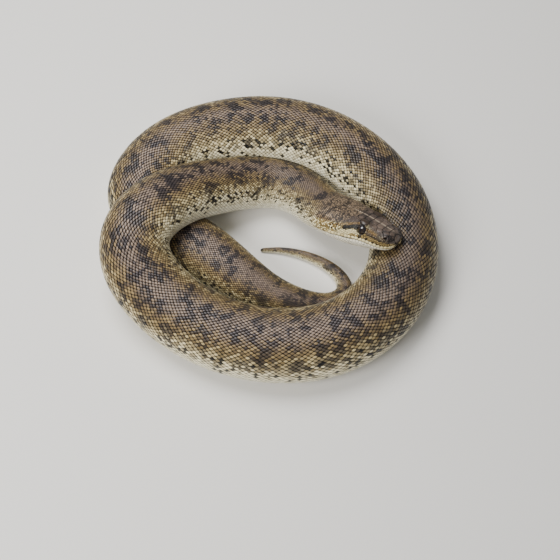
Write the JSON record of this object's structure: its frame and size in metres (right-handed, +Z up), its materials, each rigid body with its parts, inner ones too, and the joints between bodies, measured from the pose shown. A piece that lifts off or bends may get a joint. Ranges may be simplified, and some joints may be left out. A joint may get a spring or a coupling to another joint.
{
  "type": "coiled python snake",
  "caption": "Life-size rock python lying in one coil on the floor, with its head resting on the coil and its tail curled inside.",
  "frame": {"origin": "middle of the coil's box, on the floor that the belly lies on", "axes": "+Z up; +X towards the coil's side that the head rests on; +Y away from the viewer"},
  "size_m": [0.5011, 0.4802, 0.125],
  "materials": {
    "head_skin": "dry smooth scales, satin",
    "body_skin": "dry overlapping scales, satin",
    "tail_skin": "dry overlapping scales, satin",
    "eye": "wet gloss"
  },
  "bodies": {
    "root": {"eye_left": "eye", "eye_right": "eye", "head": "head_skin", "neck": "body_skin", "tail_01": "tail_skin", "tail_02": "tail_skin", "tail_03": "tail_skin", "trunk_01": "body_skin", "trunk_02": "body_skin", "trunk_03": "body_skin", "trunk_04": "body_skin", "trunk_05": "body_skin", "trunk_06": "body_skin", "trunk_07": "body_skin", "trunk_08": "body_skin", "trunk_09": "body_skin", "trunk_10": "body_skin", "trunk_11": "body_skin", "trunk_12": "body_skin"}
  },
  "joints": []
}
